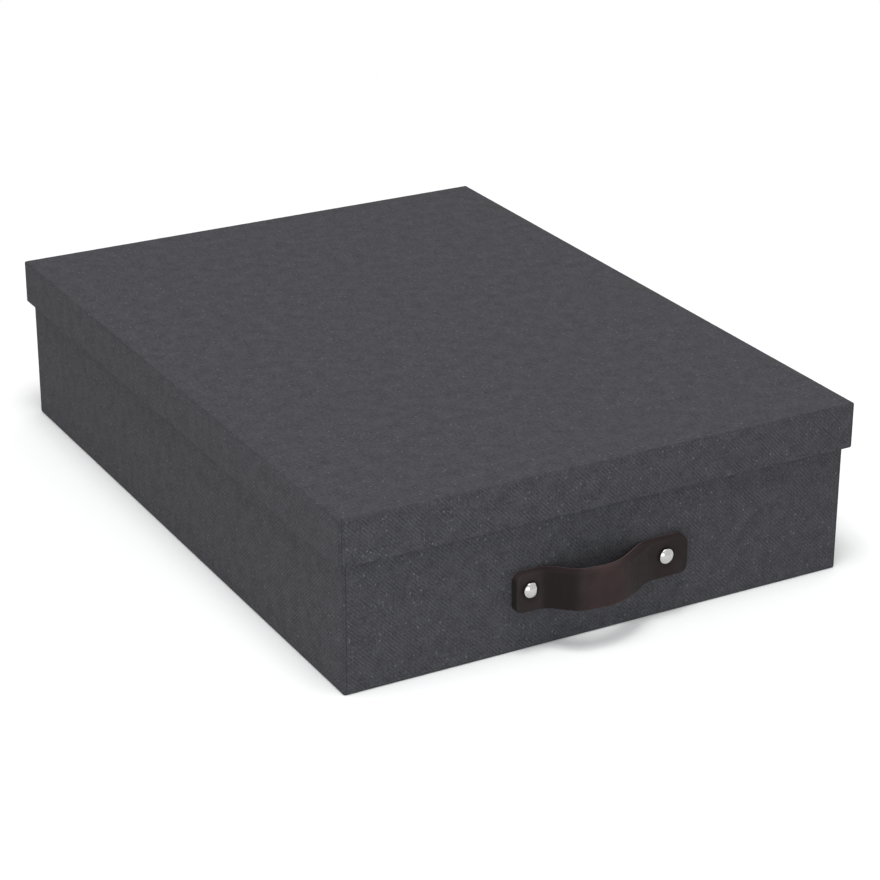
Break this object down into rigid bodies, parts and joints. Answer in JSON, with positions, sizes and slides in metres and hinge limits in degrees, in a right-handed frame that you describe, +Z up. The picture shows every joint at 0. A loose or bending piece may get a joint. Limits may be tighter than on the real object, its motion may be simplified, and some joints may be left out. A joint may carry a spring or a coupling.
{
  "type": "document box",
  "caption": "Shallow paper-covered storage box for documents, with an overlapping lift-off lid and a riveted leather strap handle on one short side.",
  "frame": {"origin": "centre of the base's underside, on the surface the box stands on", "axes": "+X to the right along the front, +Y to the rear along the box's length, +Z up; the strap is on the front, towards -Y"},
  "size_m": [0.26, 0.3689, 0.083],
  "materials": {
    "greyboard": "matt pressed board",
    "stay_tape": "matt kraft tape",
    "cover_paper": "matt, embossed with a fine twill",
    "lining_paper": "smooth matt",
    "strap_leather": "satin, burnished edges",
    "rivet_nickel": "polished nickel",
    "washer_steel": "zinc plated"
  },
  "bodies": {
    "base": {"base_floor_board": "greyboard", "base_front_board": "greyboard", "base_rear_board": "greyboard", "base_left_board": "greyboard", "base_right_board": "greyboard", "base_corner_stay_front_left": "stay_tape", "base_corner_stay_rear_left": "stay_tape", "base_corner_stay_front_right": "stay_tape", "base_corner_stay_rear_right": "stay_tape", "base_cover_paper": "cover_paper", "base_wall_lining": "lining_paper", "base_floor_lining": "lining_paper", "handle_strap": "strap_leather", "rivet_head_left": "rivet_nickel", "rivet_post_left": "rivet_nickel", "rivet_washer_left": "washer_steel", "rivet_head_right": "rivet_nickel", "rivet_post_right": "rivet_nickel", "rivet_washer_right": "washer_steel"},
    "lid": {"lid_top_board": "greyboard", "lid_front_board": "greyboard", "lid_rear_board": "greyboard", "lid_left_board": "greyboard", "lid_right_board": "greyboard", "lid_corner_stay_front_left": "stay_tape", "lid_corner_stay_rear_left": "stay_tape", "lid_corner_stay_front_right": "stay_tape", "lid_corner_stay_rear_right": "stay_tape", "lid_cover_paper": "cover_paper", "lid_skirt_lining": "lining_paper", "lid_top_lining": "lining_paper"}
  },
  "joints": [
    {"name": "lid_lift", "type": "slide", "parent": "base", "child": "lid", "axis": [0, 0, 1], "range_m": [0, 0.15]}
  ]
}
